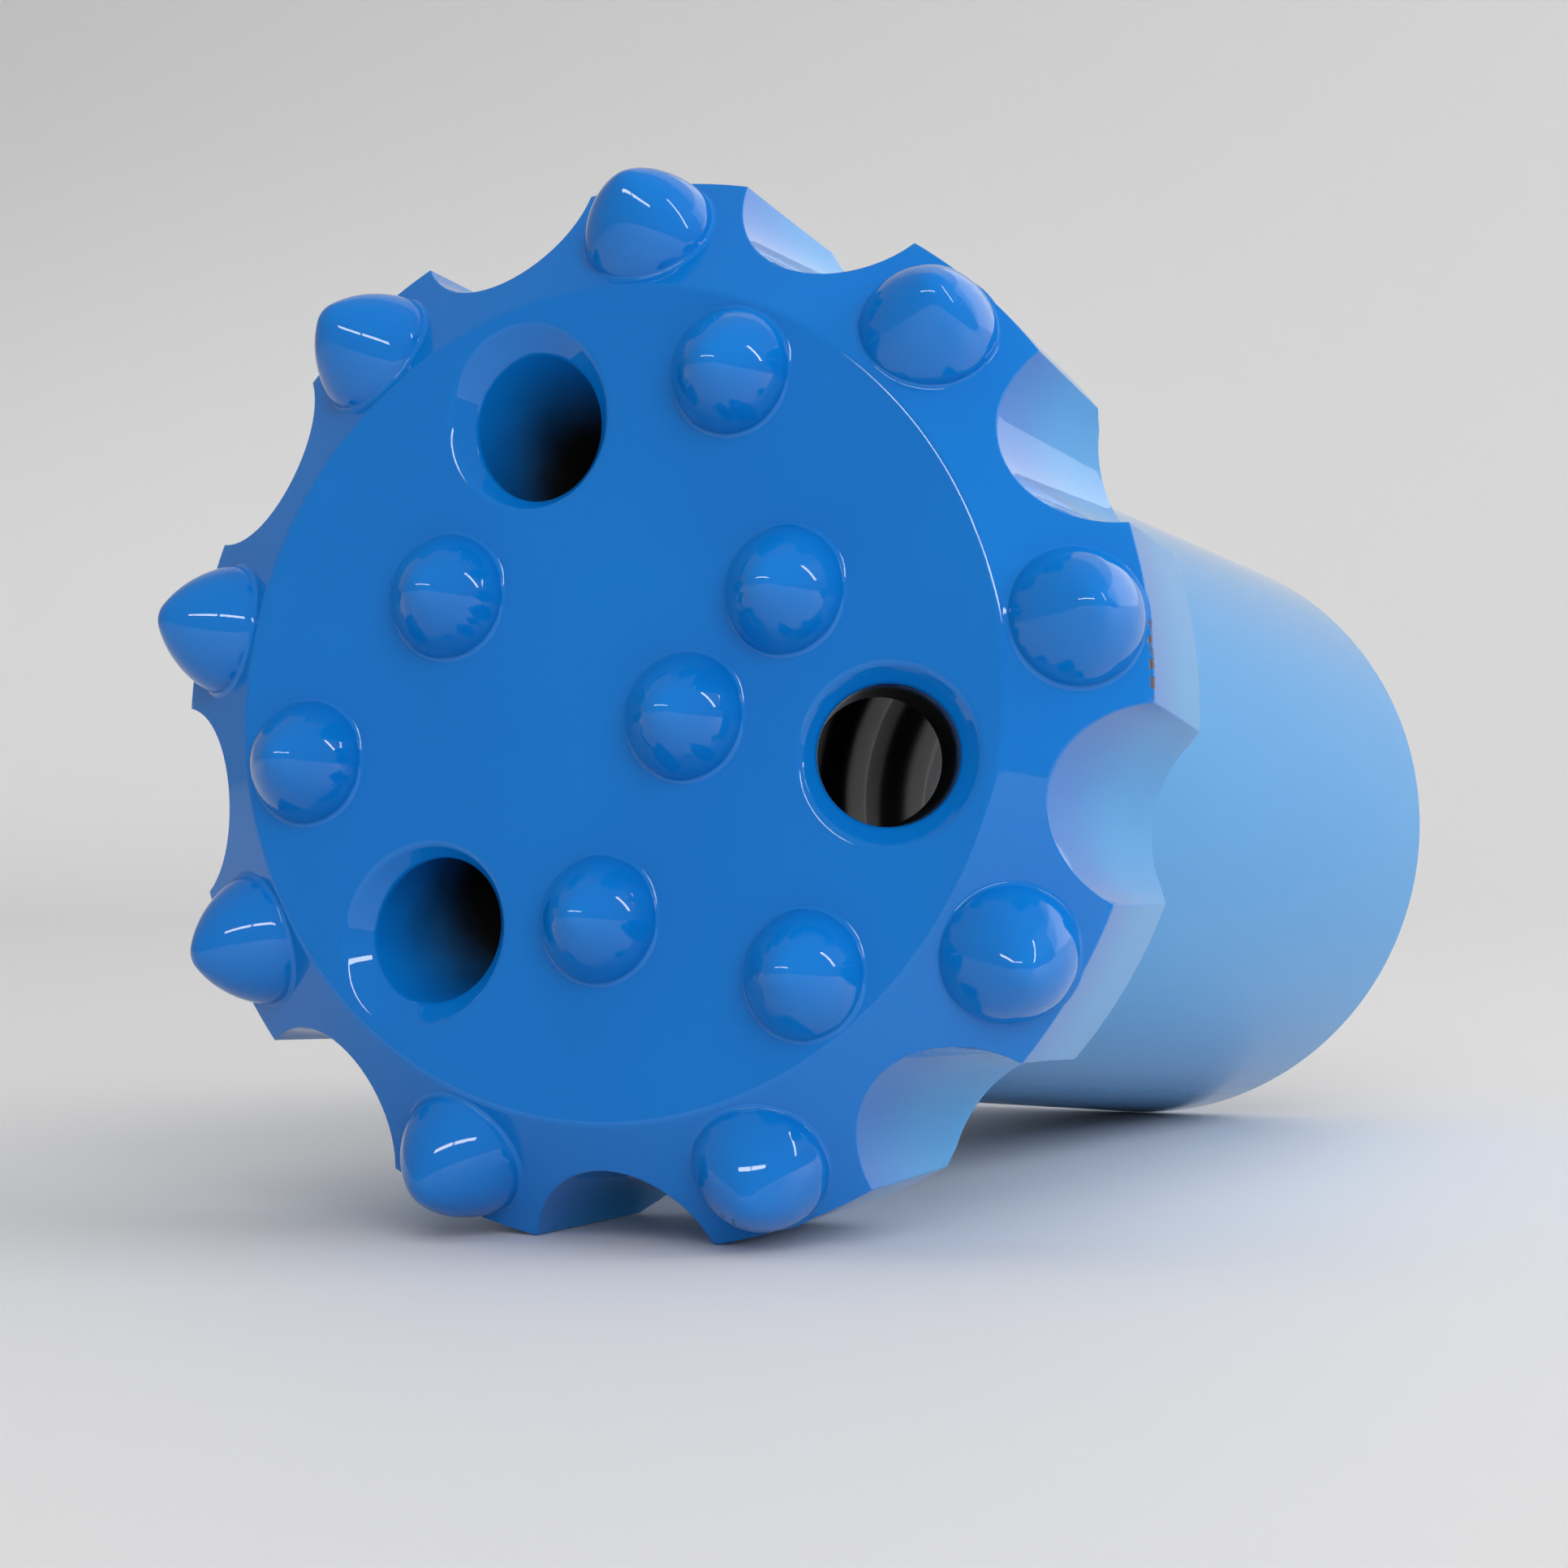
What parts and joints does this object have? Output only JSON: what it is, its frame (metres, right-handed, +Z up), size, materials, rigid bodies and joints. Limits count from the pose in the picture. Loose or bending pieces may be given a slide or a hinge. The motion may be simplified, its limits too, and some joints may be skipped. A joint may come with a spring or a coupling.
{
  "type": "button drill bit",
  "caption": "Painted button drill bit for top-hammer rock drilling: fluted head with domed carbide buttons, flushing holes and a threaded rod socket in a plain round skirt.",
  "frame": {"origin": "on the ground, under the middle of the bit's box as it lies on its side", "axes": "+Z up from the ground the bit lies on, -Y the way the cutting face looks, +X to the right of someone who looks at that face; the bit's own axis leans 5.9 degrees from Y, because the head is wider than the skirt"},
  "size_m": [0.101, 0.1626, 0.1005],
  "materials": {
    "painted_steel": "alloy steel under one glossy coat of blue paint, inside and out",
    "painted_carbide": "cemented carbide, ground smooth, under the same coat of blue paint"
  },
  "bodies": {
    "root": {"bit_body": "painted_steel", "gauge_button_1": "painted_carbide", "gauge_button_2": "painted_carbide", "gauge_button_3": "painted_carbide", "gauge_button_4": "painted_carbide", "gauge_button_5": "painted_carbide", "gauge_button_6": "painted_carbide", "gauge_button_7": "painted_carbide", "gauge_button_8": "painted_carbide", "gauge_button_9": "painted_carbide", "outer_button_1": "painted_carbide", "outer_button_2": "painted_carbide", "outer_button_3": "painted_carbide", "middle_button_1": "painted_carbide", "middle_button_2": "painted_carbide", "middle_button_3": "painted_carbide", "centre_button": "painted_carbide"}
  },
  "joints": []
}
